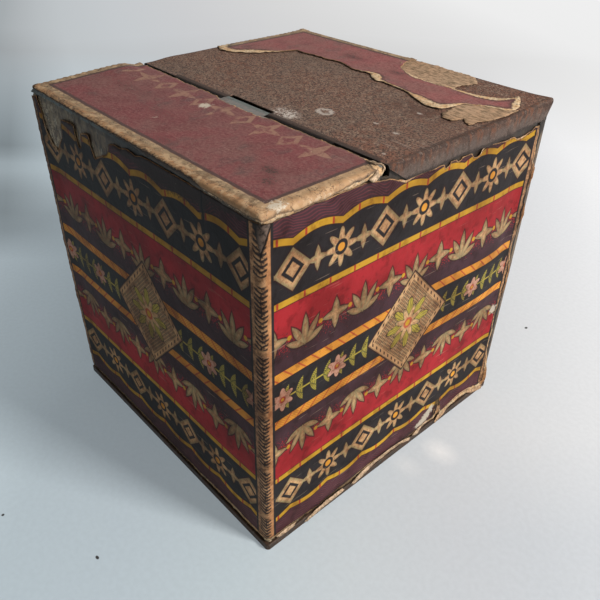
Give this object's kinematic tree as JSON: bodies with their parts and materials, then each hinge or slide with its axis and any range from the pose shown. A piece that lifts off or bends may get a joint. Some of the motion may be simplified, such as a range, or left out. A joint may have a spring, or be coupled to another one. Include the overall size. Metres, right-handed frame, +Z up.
{
  "type": "tea tin",
  "caption": "Near-cubic tinplate tea tin with a fixed top panel, a hinged lid on a wire, a folded bottom rim and worn paper labels outside",
  "frame": {"origin": "middle of the footprint, at floor level under the folded rim", "axes": "+Z up; -Y the side of the fixed top panel; +Y the side on which the lid lies; X along the hinge"},
  "size_m": [0.198, 0.202, 0.2055],
  "materials": {
    "bottom_tin": "dark brown, tarnished and rusted tinplate",
    "bare_tin": "grey tinplate, dull, with rust specks",
    "steel_wire": "dark rusty wire",
    "rusty_tin": "evenly rusted brown tinplate, mottled and matt",
    "side_paper": "printed and varnished paper in red, black and yellow bands, scuffed and torn",
    "top_paper": "dusty maroon paper with a cream border, torn to its backing"
  },
  "bodies": {
    "case": {"bottom_plate": "bottom_tin", "body_sheet_front": "bare_tin", "body_sheet_back": "bare_tin", "top_plate": "bare_tin", "hinge_wire": "steel_wire", "label_front": "side_paper", "label_back": "side_paper", "label_top": "top_paper"},
    "lid": {"lid_plate": "rusty_tin", "label_lid": "top_paper"}
  },
  "joints": [
    {"name": "lid_hinge", "type": "hinge", "parent": "case", "child": "lid", "pos_m": [0, -0.0285, 0.2022], "axis": [1, 0, 0], "range_deg": [0, 105]}
  ]
}
